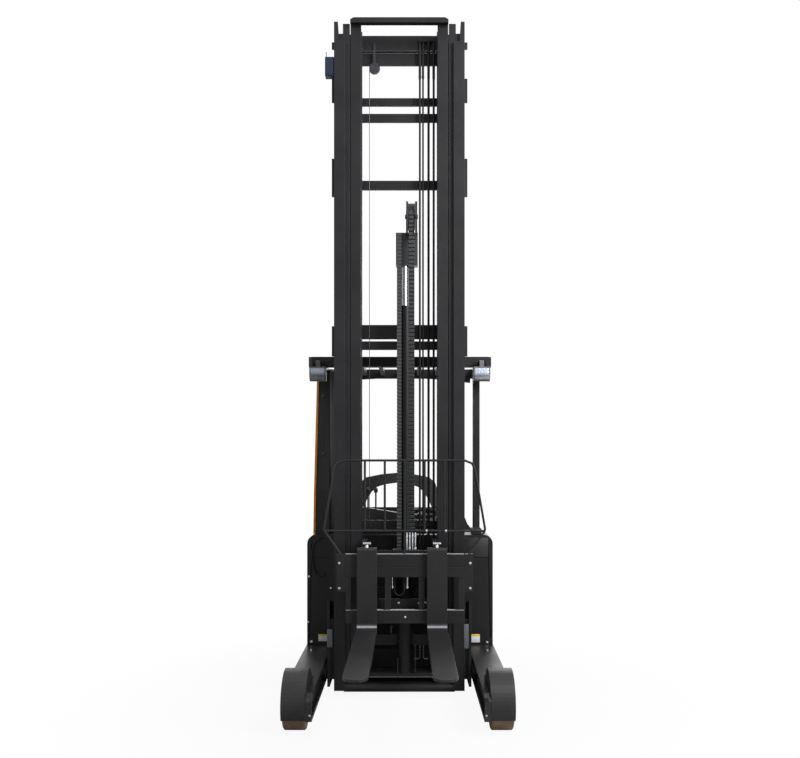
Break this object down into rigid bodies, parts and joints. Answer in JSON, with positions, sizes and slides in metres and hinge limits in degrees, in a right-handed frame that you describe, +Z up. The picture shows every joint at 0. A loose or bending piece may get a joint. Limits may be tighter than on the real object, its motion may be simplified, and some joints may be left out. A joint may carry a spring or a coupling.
{
  "type": "reach truck",
  "caption": "Sit-on reach truck with a telescopic three-stage mast, raised forks, load backrest, straddle legs and an overhead guard.",
  "frame": {"origin": "on the floor, under the centre of the whole machine's bounding box", "axes": "+Z up; the forks point along -Y; +X is the entry side of the cab"},
  "size_m": [1.27, 2.661, 4.262],
  "materials": {
    "black_coat": "satin",
    "dark_coat": "satin",
    "grey_panel": "satin",
    "orange_coat": "satin",
    "tyre_brown": "matt",
    "chrome": "polished",
    "steel": "satin",
    "black_plastic": "matt",
    "seat_cover": "matt",
    "rubber_black": "matt",
    "fork_steel": "satin"
  },
  "bodies": {
    "chassis": {"leg_left": "black_coat", "leg_right": "black_coat", "fender_left": "black_coat", "fender_right": "black_coat", "reach_barrel": "black_coat", "chassis_frame": "black_coat", "battery": "dark_coat", "battery_cover": "dark_coat", "cab_floor": "black_plastic", "sill_panel": "dark_coat", "side_wall": "dark_coat", "rear_hood": "dark_coat", "seat_pedestal": "black_plastic", "seat_cushion": "seat_cover", "seat_back": "seat_cover", "armrest_console": "black_plastic", "rear_console": "black_plastic", "steering_wheel": "black_plastic", "side_panel": "black_coat", "side_skin": "orange_coat", "guard_post_front": "dark_coat", "guard_post_rear": "dark_coat", "overhead_guard": "dark_coat", "lamp_left": "grey_panel", "lamp_right": "grey_panel"},
    "load_wheel_left": {"load_wheel_left": "tyre_brown"},
    "load_wheel_right": {"load_wheel_right": "tyre_brown"},
    "steering": {"turntable": "dark_coat"},
    "drive_wheel": {"drive_wheel": "tyre_brown"},
    "mast_base": {"reach_carriage": "black_coat", "reach_rod": "chrome", "outer_mast": "black_coat", "lift_barrel_left": "black_coat", "lift_barrel_right": "black_coat", "mast_sensor": "dark_coat"},
    "mast_middle": {"middle_mast": "black_coat", "lift_rod_left": "chrome", "lift_rod_right": "chrome"},
    "mast_inner": {"inner_mast": "black_coat", "free_lift_barrel": "dark_coat", "mast_hoses": "rubber_black", "signal_wire": "steel"},
    "free_lift_head": {"free_lift_rod": "chrome", "chain_pulley": "steel", "lift_chain": "steel", "energy_chain": "black_plastic"},
    "lift_carriage": {"lift_carriage": "black_coat"},
    "tilt_frame": {"tilt_frame": "black_coat"},
    "fork_carriage": {"fork_carriage": "black_coat", "fork_right": "fork_steel", "fork_left": "fork_steel", "load_backrest": "black_coat"}
  },
  "joints": [
    {"name": "load_wheel_left_spin", "type": "hinge", "parent": "chassis", "child": "load_wheel_left", "pos_m": [0.5715, -0.5195, 0.16], "axis": [1, 0, 0], "continuous": true},
    {"name": "load_wheel_right_spin", "type": "hinge", "parent": "chassis", "child": "load_wheel_right", "pos_m": [-0.5715, -0.5195, 0.16], "axis": [1, 0, 0], "continuous": true},
    {"name": "steer", "type": "hinge", "parent": "chassis", "child": "steering", "pos_m": [-0.165, 1.05, 0.18], "axis": [0, 0, 1], "range_deg": [-90, 90]},
    {"name": "drive_wheel_spin", "type": "hinge", "parent": "steering", "child": "drive_wheel", "pos_m": [-0.165, 1.05, 0.18], "axis": [1, 0, 0], "continuous": true},
    {"name": "reach", "type": "slide", "parent": "chassis", "child": "mast_base", "axis": [0, -1, 0], "range_m": [0, 0.6]},
    {"name": "mast_lift", "type": "slide", "parent": "mast_base", "child": "mast_middle", "axis": [0, 0, 1], "range_m": [0, 3.3]},
    {"name": "inner_lift", "type": "slide", "parent": "mast_middle", "child": "mast_inner", "axis": [0, 0, 1], "range_m": [0, 3.3]},
    {"name": "carriage_lift", "type": "slide", "parent": "mast_inner", "child": "lift_carriage", "axis": [0, 0, 1], "range_m": [-0.41, 2], "deforming": ["lift_chain", "energy_chain"]},
    {"name": "free_lift", "type": "slide", "parent": "mast_inner", "child": "free_lift_head", "axis": [0, 0, 1], "range_m": [-0.205, 1]},
    {"name": "fork_tilt", "type": "hinge", "parent": "lift_carriage", "child": "tilt_frame", "pos_m": [0, -0.058, 0.9], "axis": [1, 0, 0], "range_deg": [-4, 2]},
    {"name": "side_shift", "type": "slide", "parent": "tilt_frame", "child": "fork_carriage", "axis": [1, 0, 0], "range_m": [-0.114, 0.046]}
  ],
  "couplings": [
    {"joint": "inner_lift", "follows": "mast_lift", "ratio": 1},
    {"joint": "free_lift", "follows": "carriage_lift", "ratio": 0.5}
  ]
}
